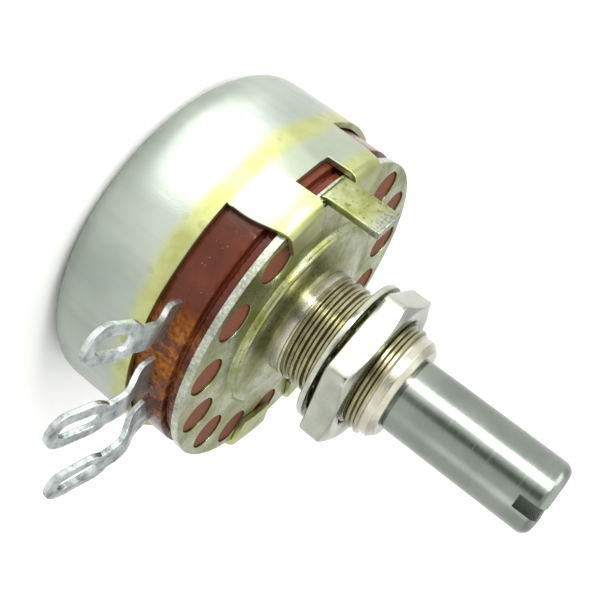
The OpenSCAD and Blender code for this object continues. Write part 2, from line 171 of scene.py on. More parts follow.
def hexColour(code):
    # sRGB hex to linear light
    part = np.array([int(code[i:i + 2], 16) / 255 for i in (1, 3, 5)])
    linear = np.where(part <= 0.04045, part / 12.92, ((part + 0.055) / 1.055) ** 2.4)
    return (*linear.tolist(), 1.0)


def addNode(tree, kind, values=None, links=None, **settings):
    node = tree.nodes.new("ShaderNode" + kind)
    for key, value in settings.items():
        setattr(node, key, value)
    for key, value in (values or {}).items():
        node.inputs[key].default_value = value
    for key, socket in (links or {}).items():
        tree.links.new(socket, node.inputs[key])
    return node


def newMaterial(name):
    material = bpy.data.materials.new(name)
    material.use_nodes = True
    tree = material.node_tree
    shader = next(n for n in tree.nodes if n.type == "BSDF_PRINCIPLED")
    place = addNode(tree, "TexCoord").outputs["Object"]
    return material, tree, shader, place


def noise(tree, place, sizeMm, detail=3.0, stretch=None, roughness=0.5):
    # clouds of the given size; stretch scales the pattern along x, y and z
    if stretch:
        place = addNode(tree, "Mapping", {"Scale": stretch}, {"Vector": place}).outputs[0]
    values = {"Scale": 1 / (sizeMm * mm), "Detail": detail, "Roughness": roughness}
    return addNode(tree, "TexNoise", values, {"Vector": place}).outputs["Fac"]


def ramp(tree, factor, stops):
    # stops: (position, value or hex colour)
    node = addNode(tree, "ValToRGB", links={"Fac": factor})
    elements = node.color_ramp.elements
    while len(elements) < len(stops):
        elements.new(0.5)
    for element, (position, value) in zip(elements, stops):
        element.position = position
        element.color = hexColour(value) if isinstance(value, str) else (value, value, value, 1)
    return node.outputs["Color"]


def sums(tree, operation, first, second, clamp=False):
    node = addNode(tree, "Math", operation=operation, use_clamp=clamp)
    for i, item in enumerate((first, second)):
        if isinstance(item, (int, float)):
            node.inputs[i].default_value = item
        else:
            tree.links.new(item, node.inputs[i])
    return node.outputs[0]


def blended(tree, factor, first, second):
    node = addNode(tree, "Mix", data_type="RGBA")
    for i, item in ((0, factor), (6, first), (7, second)):
        if isinstance(item, str):
            node.inputs[i].default_value = hexColour(item)
        else:
            tree.links.new(item, node.inputs[i])
    return node.outputs[2]


def bumped(tree, shader, height, depthMm, strength=1.0):
    node = addNode(tree, "Bump", {"Distance": depthMm * mm, "Strength": strength}, {"Height": height})
    tree.links.new(node.outputs[0], shader.inputs["Normal"])


def stepAlong(tree, place, axis, lowMm, highMm):
    # 0 below lowMm, 1 above highMm along an axis
    split = addNode(tree, "SeparateXYZ", links={"Vector": place}).outputs[axis]
    values = {"From Min": lowMm * mm, "From Max": highMm * mm}
    return addNode(tree, "MapRange", values, {"Value": split}, clamp=True).outputs[0]


def radiusStep(tree, place, lowMm, highMm):
    # 0 nearer the shaft's axis than lowMm, 1 beyond highMm
    flat = addNode(tree, "VectorMath", {1: (1, 1, 0)}, {0: place}, operation="MULTIPLY").outputs[0]
    reach = addNode(tree, "VectorMath", links={0: flat}, operation="LENGTH").outputs["Value"]
    values = {"From Min": lowMm * mm, "From Max": highMm * mm}
    return addNode(tree, "MapRange", values, {"Value": reach}, clamp=True).outputs[0]


def drawnZincSteel():
    # deep-drawn steel sheet, zinc plated: silver grey with soft draw marks, an olive band round the mouth
    material, tree, shader, place = newMaterial("drawnZincSteel")
    clouds = noise(tree, place, 7, 3)
    draw = noise(tree, place, 1.2, 4, (1, 1, 0.12))
    grey = ramp(tree, clouds, [(0.3, "#909890"), (0.7, "#AAB1A8")])
    streaked = blended(tree, ramp(tree, draw, [(0.35, 0.0), (0.75, 0.3)]), grey, "#868E84")
    rise = stepAlong(tree, place, 2, 0, can["bandSpan"])
    height = sums(tree, "ADD", rise, sums(tree, "MULTIPLY", clouds, 0.12))
    band = ramp(tree, height, [(0.56, 0.0), (0.625, 0.85), (0.7, 0.9), (0.76, 0.14), (0.93, 0.16),
                               (0.99, 0.85)])
    tint = ramp(tree, noise(tree, place, 2.2, 3), [(0.35, "#9B9F58"), (0.6, "#ADB176"), (0.75, "#848A4C")])
    tree.links.new(blended(tree, band, streaked, tint), shader.inputs["Base Color"])
    shader.inputs["Metallic"].default_value = 1
    tree.links.new(ramp(tree, draw, [(0.3, 0.31), (0.7, 0.39)]), shader.inputs["Roughness"])
    bumped(tree, shader, sums(tree, "ADD", draw, noise(tree, place, 0.12, 2)), 0.01)
    return material


def passivatedSteel(name, bareFrom, alongHeight, silverTones):
    # zinc plated sheet with olive chromate, mottled and speckled; bare and silvery where the sheet is cut
    material, tree, shader, place = newMaterial(name)
    mottle = noise(tree, place, 2.6, 4, roughness=0.6)
    base = ramp(tree, mottle, [(0.28, "#72773C"), (0.45, "#8B905C"), (0.6, "#A2A888"), (0.75, "#B3B87C")])
    speck = ramp(tree, noise(tree, place, 0.3, 2), [(0.6, 0.0), (0.68, 0.6)])
    base = blended(tree, speck, base, "#55522A")
    low, high = bareFrom
    bare = stepAlong(tree, place, 2, low, high) if alongHeight else radiusStep(tree, place, low, high)
    chips = ramp(tree, noise(tree, place, 0.45, 4, roughness=0.7), [(0.3, 0.35), (0.6, 1.0)])
    silver = ramp(tree, noise(tree, place, 0.2, 3), [(0.35, silverTones[0]), (0.65, silverTones[1])])
    base = blended(tree, sums(tree, "MULTIPLY", bare, chips), base, silver)
    tree.links.new(base, shader.inputs["Base Color"])
    shader.inputs["Metallic"].default_value = 1
    tree.links.new(ramp(tree, mottle, [(0.3, 0.36), (0.7, 0.24)]), shader.inputs["Roughness"])
    bumped(tree, shader, sums(tree, "ADD", noise(tree, place, 0.25, 3), mottle), 0.02)
    return material


def turnedBushing():
    # dull nickel over turned brass; painted shade darkens the thread's flanks, barely its roots and not
    # its crests, and a painted highlight lightens the plain collar and nose land
    material, tree, shader, place = newMaterial("dullNickelBrass")
    clouds = noise(tree, place, 1.5, 4)
    base = ramp(tree, clouds, [(0.3, "#858160"), (0.6, "#9F9B7C"), (0.8, "#B6B298")])
    crest = radiusStep(tree, place, threadR - bushing["depth"], threadR)
    # painted shade: darker olive blended onto the thread's flanks, a little at the roots, none on the
    # crests
    flankShade = ramp(tree, crest, [(0.0, 0.1), (0.22, 0.42), (0.72, 0.42), (0.92, 0.0)])
    base = blended(tree, flankShade, base, "#3E3A20")
    landZ, collarZ = bushingHigh[2] - bushing["land"], seatZ + bushing["collar"]
    # painted highlight: the plain collar and nose land get a lighter colour than the thread
    plain = sums(tree, "MAXIMUM", stepAlong(tree, place, 2, landZ - 0.1, landZ + 0.05),
                 stepAlong(tree, place, 2, collarZ + 0.3, collarZ - 0.1))
    base = blended(tree, plain, base, ramp(tree, clouds, [(0.3, "#ABA996"), (0.7, "#C6C4B4")]))
    tree.links.new(base, shader.inputs["Base Color"])
    shader.inputs["Metallic"].default_value = 1
    shader.inputs["Roughness"].default_value = 0.25
    bumped(tree, shader, noise(tree, place, 0.15, 3), 0.01)
    return material


def satinNickel(name, low, high):
    # satin nickel plating with the die's fine marks
    material, tree, shader, place = newMaterial(name)
    clouds = noise(tree, place, 1.8, 3)
    tree.links.new(ramp(tree, clouds, [(0.3, low), (0.7, high)]), shader.inputs["Base Color"])
    shader.inputs["Metallic"].default_value = 1
    fine = noise(tree, place, 0.18, 3)
    tree.links.new(ramp(tree, fine, [(0.3, 0.22), (0.7, 0.28)]), shader.inputs["Roughness"])
    bumped(tree, shader, fine, 0.0015)
    return material


def turnedSteel():
    # bright turned steel: very fine rings round the shaft
    material, tree, shader, place = newMaterial("turnedSteel")
    rings = noise(tree, place, 0.25, 3, (0.02, 0.02, 1))
    clouds = noise(tree, place, 3, 3)
    tree.links.new(ramp(tree, clouds, [(0.3, "#7B827B"), (0.7, "#8F958D")]), shader.inputs["Base Color"])
    shader.inputs["Metallic"].default_value = 1
    tree.links.new(ramp(tree, rings, [(0.3, 0.22), (0.7, 0.28)]), shader.inputs["Roughness"])
    bumped(tree, shader, rings, 0.0008)
    return material


def mouldedPhenolic():
    # brown phenolic: glossy moulding skin with a few light specks, rough fibrous orange patches round
    # the terminals, and duller, redder plugs in the plate's holes
    material, tree, shader, place = newMaterial("mouldedPhenolic")
    clouds = noise(tree, place, 3, 4)
    grain = noise(tree, place, 0.35, 4)
    skin = ramp(tree, clouds, [(0.3, "#3A180A"), (0.55, "#4D2110"), (0.8, "#63331C")])
    dust = ramp(tree, noise(tree, place, 0.14, 2), [(0.72, 0.0), (0.76, 0.6)])
    skin = blended(tree, dust, skin, "#A88E7C")
    toward = stepAlong(tree, place, 1, *base["roughSide"])
    patchy = ramp(tree, noise(tree, place, 2.2, 4, roughness=0.65), [(0.45, 0.0), (0.54, 1.0)])
    rough = sums(tree, "MULTIPLY", toward, patchy)
    orange = ramp(tree, grain, [(0.3, "#5A2E0C"), (0.55, "#8A5015"), (0.75, "#A0662A")])
    inHoles = stepAlong(tree, place, 2, *base["plugFace"])
    skin = blended(tree, sums(tree, "MULTIPLY", inHoles, 0.7), skin, "#70402A")
    tree.links.new(blended(tree, rough, skin, orange), shader.inputs["Base Color"])
    gloss = sums(tree, "ADD", sums(tree, "MULTIPLY", rough, 0.35), 0.17)
    gloss = sums(tree, "ADD", gloss, sums(tree, "MULTIPLY", inHoles, 0.5))
    shader.inputs["Specular IOR Level"].default_value = 0.22
    tree.links.new(gloss, shader.inputs["Roughness"])
    lumps = sums(tree, "MULTIPLY", sums(tree, "ADD", rough, 0.2), grain)
    waves = sums(tree, "MULTIPLY", noise(tree, place, 1.6, 2), 0.6)
    bumped(tree, shader, sums(tree, "ADD", lumps, waves), 0.08)
    return material


def tinnedBrass():
    # hot tinned brass: dull grey, lumpy, with darker hollows
    material, tree, shader, place = newMaterial("tinnedBrass")
    clouds = noise(tree, place, 0.9, 4, roughness=0.6)
    base = ramp(tree, clouds, [(0.3, "#747A79"), (0.5, "#A9B0AE"), (0.72, "#CDD2D0")])
    tree.links.new(base, shader.inputs["Base Color"])
    shader.inputs["Metallic"].default_value = 1
    tree.links.new(ramp(tree, clouds, [(0.3, 0.5), (0.7, 0.3)]), shader.inputs["Roughness"])
    bumped(tree, shader, clouds, 0.07)
    return material


def plainFinish(name, low, high, metallic, roughness, sizeMm=0.8):
    # hidden inner pieces: a mottled plain finish
    material, tree, shader, place = newMaterial(name)
    clouds = noise(tree, place, sizeMm, 3)
    tree.links.new(ramp(tree, clouds, [(0.3, low), (0.7, high)]), shader.inputs["Base Color"])
    shader.inputs["Metallic"].default_value = metallic
    shader.inputs["Roughness"].default_value = roughness
    bumped(tree, shader, clouds, 0.01)
    return material


def sizesOf(node):
    low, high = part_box(node)
    return np.array(low) / mm, np.array(high) / mm


canHigh = sizesOf("can")[1]
bushingLow, bushingHigh = sizesOf("bushing")
shaftLow, shaftHigh = sizesOf("shaft")
nutLow, nutHigh = sizesOf("panel_nut")
washerLow, washerHigh = sizesOf("lock_washer")
mounts = {m["name"]: m for m in frame["record"]["mounts"]}
seatZ = mounts["panel_seat"]["pos_m"][2] / mm
threadR = mounts["panel_thread"]["dims"]["r_mm"]
shaftR = mounts["shaft_end"]["dims"]["r_mm"]
lugPlace = mounts["locating_lug"]["pos_m"]
lugTurn = math.degrees(math.atan2(lugPlace[1], lugPlace[0]))

can = {
    "wall": 0.5, "rearRadius": 2.0, "mouthDrop": 4.4, "bendRadius": 0.8, "lipLength": 2.5,
    "earHalf": 24.0, "windowHalf": 7.25, "windowDrop": 2.05, "earTaper": 2.6, "rootFillet": 0.5,
    "edge": 0.07, "step": 1.0, "bandSpan": 12.5,
    "taperFrom": 1.2, "taperShare": 0.55, "wideShare": -0.5, "rootSpread": 1.2,
    "dents": {"size": 5, "amount": 0.05, "seed": 3, "zFrom": 6.5, "zTo": 10},
}
canR = canHigh[0]
plateFrontZ = canHigh[2] - can["wall"]


def canPatches():
    # a cup turned round the axis; above its mouth each ear is one profile of wall, quarter-round fold
    # and lip carried round in angle, its outer side drawn in by a smooth taper as the profile runs on
    mouthZ = plateFrontZ - can["mouthDrop"]
    windowZ = plateFrontZ - can["windowDrop"]
    bend, rear = can["bendRadius"], can["rearRadius"]
    foldZ, foldR = canHigh[2] - bend, canR - bend
    lipR = canR - can["wall"] - can["lipLength"]
    centres = [lugTurn, lugTurn + 180]
    stops = []
    for c in centres:
        stops += [c - can["earHalf"], c - can["windowHalf"], c + can["windowHalf"], c + can["earHalf"]]
    stops = np.array(stops + [stops[0] + 360])
    spans = []
    for first, last in zip(stops[:-1], stops[1:]):
        spans.append(np.linspace(first, last, max(8, int((last - first) / can["step"])) + 1))
    angles = np.concatenate([s[:-1] for s in spans])
    back = np.stack([np.linspace(0, canR - rear, 14), np.zeros(14)], axis=-1)
    corner = arcPoints(canR - rear, rear, rear, -90, 0, 12)
    side = np.stack([np.full(16, canR), np.linspace(rear, mouthZ, 16)], axis=-1)
    cup = np.concatenate([back, corner[1:], side[1:]])
    patches = [(revolved(cup, angles), False, True)]
    wallRows = np.linspace(mouthZ, windowZ, 10)
    upper = np.linspace(windowZ, foldZ, 8)[1:]
    lower = np.stack([np.full(10, canR), wallRows], axis=-1)
    rise = np.stack([np.full(len(upper), canR), upper], axis=-1)
    fold = arcPoints(foldR, foldZ, bend, 0, 90, 9)[1:]
    lip = np.stack([np.linspace(foldR, lipR, 8)[1:], np.full(7, canHigh[2])], axis=-1)
    profile = np.concatenate([lower, rise, fold, lip])
    along = np.concatenate([[0], np.cumsum(np.linalg.norm(np.diff(profile, axis=0), axis=1))])
    for i, c in enumerate(centres):
        left, window, right = spans[4 * i], spans[4 * i + 1], spans[4 * i + 2]
        patches.append((revolved(lower, window), False, False))
        for row, outer, inner in ((left, left[0], left[-1]), (right, right[-1], right[0])):
            share = (row - inner) / (outer - inner)
            wide = i == 1 and outer < inner
            ease = smooth((along - can["taperFrom"]) / (along[-1] * can["taperShare"]))
            narrow = (can["wideShare"] if wide else 1) * can["earTaper"] * ease
            spread = can["rootSpread"] * np.clip(1 - along / can["rootFillet"], 0, 1) ** 2
            narrow = narrow - spread * (along > 0)
            turn = row[None, :] - np.sign(outer - inner) * narrow[:, None] * share[None, :]
            patches.append((polar(profile[:, None, 0], turn, profile[:, None, 1]), False, False))
    return patches


def dented(patches, size, amount, seed, zFrom, zTo):
    # presses a soft unevenness into the sheet along its own radius, growing from zFrom to zTo
    out = []
    for points, closeRows, closeCols in patches:
        share = smooth((points[..., 2] - zFrom) / (zTo - zFrom))
        push = wobble(points, size, amount, seed) * share
        radius = np.linalg.norm(points[..., :2], axis=-1, keepdims=True)
        way = points[..., :2] / np.maximum(radius, 1e-6)
        moved = points.copy()
        moved[..., :2] -= way * np.abs(push)[..., None]
        out.append((moved, closeRows, closeCols))
    return out


buildPiece("canShell", "can", "housing", drawnZincSteel(),
           dented(canPatches(), **can["dents"]), thickness=can["wall"], bevel=can["edge"])
print("can built")


plate = {
    "sheet": 0.6, "bossR": 8.0, "bossFoot": 0.15, "bossStep": 0.45, "seatR": 5.6, "gap": 0.1,
    "holeR": 1.55, "holeRing": 11.25, "holeCount": 15, "holeTurn": 217.5, "lugClear": 10,
    "bandIn": 9.15, "bandOut": 13.15, "edge": 0.07,
    "lugWidth": 2.5, "lugBend": 0.3, "lugFace": 13.75, "lugTop": 4.4, "lugBare": (15.6, 16.3),
    "rimBare": (0.12, 0.04), "flatR": 8.7, "footArc": 0.16, "crestArc": 0.34,
    "bossSlope": ((7.25, 0.5), (6.7, 0.55), (6.2, 0.68)),
    "lugEdge": 0.1, "lugFoot": 0.5, "lugUneven": (2.5, 0.02, 5),
}
plateR = canR - can["wall"] - plate["gap"]


def holeAngles():
    turns = plate["holeTurn"] + np.arange(plate["holeCount"]) * 360 / plate["holeCount"]
    away = np.abs((turns - lugTurn + 540) % 360 - 180)
    return turns, away > plate["lugClear"]


def platePatches():
    # each sector runs from its hole's circle to a box in angle and radius, then in to the boss
    # and out to the rim; the boss is a profile of two arcs turned round the axis
    half = 180 / plate["holeCount"]
    inner, outer, ring = plate["bandIn"], plate["bandOut"], plate["holeRing"]
    across, up = np.linspace(-half, half, 15), np.linspace(inner, outer, 11)
    boxTurn = np.concatenate([across[:-1], np.full(10, half), across[::-1][:-1], np.full(10, -half)])
    boxR = np.concatenate([np.full(14, inner), up[:-1], np.full(14, outer), up[::-1][:-1]])
    aim = np.arctan2(boxR * np.cos(np.radians(boxTurn)) - ring, boxR * np.sin(np.radians(boxTurn)))
    boxX, boxY = boxR * np.cos(np.radians(boxTurn)), boxR * np.sin(np.radians(boxTurn))
    holeX, holeY = ring + plate["holeR"] * np.sin(aim), plate["holeR"] * np.cos(aim)
    zTop = plateFrontZ
    boss = np.concatenate([
        [[inner, zTop], [plate["flatR"], zTop],
         [plate["bossR"] + plate["bossFoot"] + plate["footArc"], zTop]],
        arcPoints(plate["bossR"] + 0.3, zTop + plate["footArc"], plate["footArc"], 265, 200, 5),
        arcPoints(plate["bossR"] - 0.32, zTop + plate["bossStep"] - 0.24, plate["crestArc"], 8, 84, 10),
        [[radius, zTop + step] for radius, step in plate["bossSlope"]],
        [[plate["seatR"], seatZ - 0.04], [plate["seatR"] - 0.25, seatZ], [threadR, seatZ]],
    ])
    rim = np.array([[outer, zTop], [plateR - 0.1, zTop], [plateR, zTop]])
    patches = []
    turns, holed = holeAngles()
    share = np.linspace(0, 1, 6)[:, None]
    for turn, hole in zip(turns, holed):
        x, y = holeX + (boxX - holeX) * share, holeY + (boxY - holeY) * share
        if not hole:
            fill = np.linspace(0, 1, 4)[:-1, None]
            x = np.concatenate([ring + (holeX - ring) * fill, x])
            y = np.concatenate([holeY * fill, y])
        patches.append((turned(np.stack([x, y, np.full_like(x, zTop)], axis=-1), turn), False, True))
        patches.append((revolved(boss, turn + across), False, False))
        patches.append((revolved(rim, turn + across), False, False))
    return patches


rimBare = (plateR - plate["rimBare"][0], plateR - plate["rimBare"][1])
buildPiece("frontPlate", "front_plate", "housing",
           passivatedSteel("passivatedSteel", rimBare, False, ("#959A90", "#C4C8BE")),
           platePatches(), thickness=plate["sheet"], bevel=plate["edge"])


def lugPatches():
    # a rounded bar section carried out of the rim, round the bend and forward; its end is a little ragged
    half, sheet = plate["lugWidth"] / 2, plate["sheet"]
    section = roundedProfile([[-half, -sheet / 2], [half, -sheet / 2], [half, sheet / 2],
                              [-half, sheet / 2]], plate["lugEdge"], 4)
    bend = plate["lugBend"] + sheet / 2
    middleR, middleZ = plate["lugFace"] - sheet / 2, plateFrontZ - sheet / 2
    footR = np.linspace(middleR - bend - plate["lugFoot"], middleR - bend, 4)
    foot = np.stack([footR, np.full(4, middleZ)], axis=-1)
    turnArc = arcPoints(middleR - bend, middleZ + bend, bend, -90, 0, 10)[1:]
    top = plateFrontZ + plate["lugTop"]
    rise = np.stack([np.full(22, middleR), np.linspace(middleZ + bend, top, 23)[1:]], axis=-1)
    path = np.concatenate([foot, turnArc, rise])
    way = np.gradient(path, axis=0)
    way /= np.linalg.norm(way, axis=1, keepdims=True)
    normal = np.stack([way[:, 1], -way[:, 0]], axis=-1)
    radial = path[:, None, 0] + section[None, :, 1] * normal[:, None, 0]
    height = path[:, None, 1] + section[None, :, 1] * normal[:, None, 1]
    side = np.broadcast_to(section[None, :, 0], radial.shape)
    points = np.stack([radial, side, height], axis=-1)
    endShrink = np.array([0.94, 0.85, 0.0])
    middle = points[-1].mean(axis=0)
    caps = [middle + (points[-1] - middle) * e + np.array([0, 0, 0.04 * (1 - e) * 2]) * (e > 0)
            for e in endShrink]
    caps[-1][:, 2] = caps[-2][:, 2]
    points = np.concatenate([gathered(points[0])[None], points, np.array(caps)])
    points[..., 2] = np.minimum(points[..., 2], top)
    points[..., 0] += wobble(points, *plate["lugUneven"])
    return [(turned(points, lugTurn), False, True)]


buildPiece("locatingLug", None, "housing",
           passivatedSteel("passivatedSteelLug", plate["lugBare"], True, ("#676C60", "#9CA093")),
           lugPatches())
print("plate built")


base = {"gap": 0.1, "thick": 4.6, "stepDrop": 1.3, "stepWidth": 0.4, "groove": 0.25, "recess": 0.12,
        "ragged": 0.05, "roughSide": (-11.8, -12.8), "plugFace": (11.85, 12.0),
        "boreR": 5.0, "seatBoreR": 5.5, "edge": 0.09, "coarse": (0.7, 1, 11), "fine": (0.35, 1, 12),
        "plugUneven": (1.5, 0.02, 7)}


def basePatches():
    # a rounded profile turned round the axis, its rim pressed in by a ragged depth that grows near
    # the groove, and a low uneven disc for each plug in the plate's holes
    outerR = canR - can["wall"] - base["gap"]
    backZ, frontZ = plateFrontZ - plate["sheet"] - base["thick"], plateFrontZ - plate["sheet"]
    stepZ = plateFrontZ - base["stepDrop"]
    grooveR = outerR - base["stepWidth"] - base["groove"]
    neckR = outerR - base["stepWidth"]
    bossR = plate["bossR"] - plate["sheet"]
    corners = [[base["boreR"], backZ], [outerR, backZ], [outerR, stepZ - base["groove"]],
               [grooveR, stepZ - base["groove"]], [grooveR, stepZ], [neckR, stepZ], [neckR, frontZ],
               [bossR + 0.15, frontZ], [bossR, frontZ + plate["bossStep"]],
               [base["seatBoreR"], seatZ - plate["sheet"]], [base["boreR"], seatZ - plate["sheet"]]]
    profile = roundedProfile(corners, base["edge"], 4)
    rows = [profile[:8]]
    lastOuter, firstGroove = profile[7], profile[8]
    rows.append(np.linspace(lastOuter, firstGroove, 14)[1:-1])
    rows.append(profile[8:24])
    rows.append(np.linspace(profile[23], profile[24], 6)[1:-1])
    rows.append(profile[24:])
    profile = np.concatenate(rows)
    angles = np.linspace(0, 360, 720, endpoint=False)
    points = revolved(profile, angles)
    nearGroove = np.exp(-((points[..., 2] - stepZ) / 0.35) ** 2)
    radius = np.linalg.norm(points[..., :2], axis=-1)
    rim = smooth((radius - grooveR + 0.05) / 0.3)
    rough = wobble(points, *base["coarse"]) * 0.6 + wobble(points, *base["fine"]) * 0.4
    push = -base["ragged"] * np.abs(rough) * (0.25 + nearGroove) * rim
    points[..., :2] *= (1 + push / np.maximum(radius, 1))[..., None]
    patches = [(points, True, True)]
    plugR, top = plate["holeR"] - 0.01, plateFrontZ - base["recess"]
    plug = np.concatenate([[[0, frontZ], [plugR, frontZ], [plugR, top - 0.04]],
                           [[plugR - 0.06, top - 0.015], [plugR - 0.25, top - 0.02],
                            [plugR * 0.5, top], [0, top]]])
    for turn, hole in zip(*holeAngles()):
        if hole:
            disc = revolved(plug, np.linspace(0, 360, 40, endpoint=False))
            sunk = np.abs(wobble(disc + turn, *base["plugUneven"]))
            disc[..., 2] -= sunk * (disc[..., 2] > frontZ + 0.1)
            disc[..., :2] += polar(plate["holeRing"], turn, 0)[:2]
            patches.append((disc, False, True))
    return patches


buildPiece("phenolicBase", "base", "housing", mouldedPhenolic(), basePatches())
print("base built")


# the thread, its plain collar, the plain land at the nose, the rear flange and the plain bore
bushing = {"pitch": 0.75, "depth": 0.24, "collar": 0.75, "land": 1.2, "landDepth": 0.28,
           "chamfer": 0.75, "flangeIn": 0.25, "flange": 0.8, "clearance": 0.04, "runIn": 0.5,
           "journalInset": 0.2, "boreRows": (17.0, 14.0), "edge": 0.06, "crestShare": 0.3,
           "flankShare": 0.42, "landEase": 0.12}
journalR = shaftR - bushing["journalInset"]


def bushingPatches():
    # the thread: radius falls and rises once each pitch as the height and the turn go on together
    noseZ, backZ = bushingHigh[2], bushingLow[2]
    boreR = journalR + bushing["clearance"]
    flangeR = plate["seatR"] - bushing["flangeIn"]
    threadStart = seatZ + bushing["collar"]
    heights = np.linspace(threadStart, noseZ - bushing["chamfer"] * 0.2, 330)
    turns = np.linspace(0, 360, 144, endpoint=False)
    phase = (heights[:, None] / bushing["pitch"] - turns[None, :] / 360) % 1
    wave = np.clip((np.abs(phase * 2 - 1) - bushing["crestShare"]) / bushing["flankShare"], 0, 1)
    ease = smooth((heights - threadStart) / bushing["runIn"])[:, None]
    radius = threadR - bushing["depth"] * wave * ease
    onLand = smooth((heights - (noseZ - bushing["land"])) / bushing["landEase"])[:, None]
    radius = radius * (1 - onLand) + (threadR - bushing["landDepth"]) * onLand
    cone = threadR - np.clip(heights - (noseZ - bushing["chamfer"]), 0, None)
    radius = np.minimum(radius, cone[:, None])
    thread = polar(radius, turns[None, :], heights[:, None])
    edge = bushing["edge"]
    under = np.array([[boreR, backZ], [flangeR - edge, backZ], [flangeR, backZ + edge],
                      [flangeR, backZ + bushing["flange"] - edge],
                      [flangeR - edge, backZ + bushing["flange"]],
                      [threadR, backZ + bushing["flange"]], [threadR, seatZ],
                      [threadR, seatZ + 0.1], [threadR, threadStart - 0.12],
                      [threadR - 0.02, threadStart - 0.05]])
    lower = revolved(under, turns)
    noseR = radius[-1].min()
    upperProfile = np.array([[noseR - 0.12, noseZ - 0.02], [noseR - 0.2, noseZ], [boreR + 0.16, noseZ],
                             [boreR + 0.05, noseZ - 0.04], [boreR, noseZ - 0.16],
                             *([boreR, z] for z in bushing["boreRows"])])
    upper = revolved(upperProfile, turns)
    return [(np.concatenate([lower, thread, upper]), True, True)]


buildPiece("threadedBushing", "bushing", "housing", turnedBushing(), bushingPatches())
print("bushing built")


# the free end with its slot, the shoulder at the nose, the journal with the clip's groove,
# and the riveted tail
shaft = {"endRadius": 0.8, "slotWidth": 1.1, "slotDepth": 2.0, "slotTurn": 250.5, "edge": 0.06,
         "tailR": 2.2, "headR": 3.4, "head": 0.8, "tailHigh": 5.95, "shoulderGap": 0.15,
         "grooveDepth": 0.5, "grooveLow": 10.9, "grooveHigh": 11.5, "headEdge": 0.15}


def shaftPatches():
    # a profile turned round the axis up to the slot's floor; above it two D-shaped stacks, each an arc
    # of the shaft's circle closed by a chord half the slot's width away, with the circle's radius
    # falling along a quarter circle at the end
    topZ = shaftHigh[2]
    floorZ = topZ - shaft["slotDepth"]
    half = shaft["slotWidth"] / 2
    slotHalf = math.degrees(math.asin(half / shaftR))
    land = np.linspace(slotHalf, 180 - slotHalf, 49)
    gap = np.linspace(-slotHalf, slotHalf, 9)
    columns = np.concatenate([land[:-1], gap[:-1] + 180, land[:-1] + 180, gap[:-1] + 360])
    lowZ = shaftLow[2]
    g, edge, headEdge = shaft["grooveDepth"], shaft["edge"], shaft["headEdge"]
    shoulderZ = bushingHigh[2] + shaft["shoulderGap"]
    profile = np.array([[0, lowZ], [shaft["headR"] - headEdge, lowZ], [shaft["headR"], lowZ + headEdge],
                        [shaft["headR"], lowZ + shaft["head"]], [shaft["tailR"], lowZ + shaft["head"]],
                        [shaft["tailR"], shaft["tailHigh"]], [journalR, shaft["tailHigh"]],
                        [journalR, shaft["grooveLow"]], [journalR - g, shaft["grooveLow"]],
                        [journalR - g, shaft["grooveHigh"]], [journalR, shaft["grooveHigh"]],
                        [journalR, shoulderZ], [shaftR - edge, shoulderZ], [shaftR, shoulderZ + edge]])
    upper = np.stack([np.full(20, shaftR), np.linspace(shoulderZ + edge, floorZ, 21)[1:]], axis=-1)
    patches = [(revolved(np.concatenate([profile, upper]), columns), False, True)]
    chord = np.linspace(-1, 1, 25)
    across = shaftR * np.sin(np.radians(gap))
    reach = np.sqrt(shaftR ** 2 - across ** 2)
    floor = np.stack([chord[None, :] * reach[:, None], np.broadcast_to(across[:, None], (9, 25)),
                      np.full((9, 25), floorZ)], axis=-1)
    patches.append((floor, False, False))
    r = shaft["endRadius"]
    bend = np.radians(np.linspace(0, 90, 12))
    levels = np.concatenate([np.linspace(floorZ, topZ - r, 6)[:-1], topZ - r + r * np.sin(bend)])
    edgeR = np.concatenate([np.full(5, shaftR), shaftR - r + r * np.cos(bend)])
    soften = np.clip((levels - (topZ - edge)) / edge, 0, 1)
    chordY = half + edge * (1 - np.sqrt(np.clip(1 - soften ** 2, 0, 1)))
    for side in (1, -1):
        start = np.degrees(np.arcsin(chordY / edgeR))
        sweep = np.linspace(0, 1, 49)
        turn = start[:, None] + (180 - 2 * start[:, None]) * sweep[None, :]
        arcX, arcY = edgeR[:, None] * np.cos(np.radians(turn)), edgeR[:, None] * np.sin(np.radians(turn))
        lineX = np.sqrt(edgeR ** 2 - chordY ** 2)[:, None] * chord[None, 1:-1]
        lineY = np.broadcast_to(chordY[:, None], lineX.shape)
        x, y = np.concatenate([arcX, lineX], axis=1), np.concatenate([arcY, lineY], axis=1)
        z = np.broadcast_to(levels[:, None], x.shape)
        outline = np.stack([x, y * side, z], axis=-1)
        middle = np.array([0, side * (half + 1.0), topZ])
        fill = [middle + (outline[-1] - middle) * k for k in (0.75, 0.4, 0.0)]
        patches.append((np.concatenate([outline, np.array(fill)]), False, True))
    return [(turned(p, shaft["slotTurn"]), closeRows, closeCols) for p, closeRows, closeCols in patches]


shaftPiece = buildPiece("slottedShaft", "shaft", "shaft_assembly", turnedSteel(),
                        shaftPatches())
shaftPiece.data.set_sharp_from_angle(angle=math.radians(40))
print("shaft built")


nut = {"flatR": 6.0, "turn": 182, "chamfer": 0.45, "coneR": 5.85, "corner": 0.12, "clearance": 0.05,
       "sink": 0.35, "pitch": 0.75, "lowEdge": 0.12, "cornerBlend": 0.04, "threadDepth": 0.12}


def hexRadius(turn):
    # distance to a hexagon's side, softly capped at its corners
    off = (turn - nut["turn"] + 30) % 60 - 30
    nearest = np.radians(np.abs(np.abs(off) - 30))
    nearest = np.where(np.abs(off) <= 30, np.radians(30 - np.abs(off)), nearest)
    plain = nut["flatR"] / np.cos(nearest)
    cap = nut["flatR"] / math.cos(math.radians(30)) - nut["corner"]
    blend = nut["cornerBlend"]
    return -blend * np.logaddexp(-plain / blend, -cap / blend)


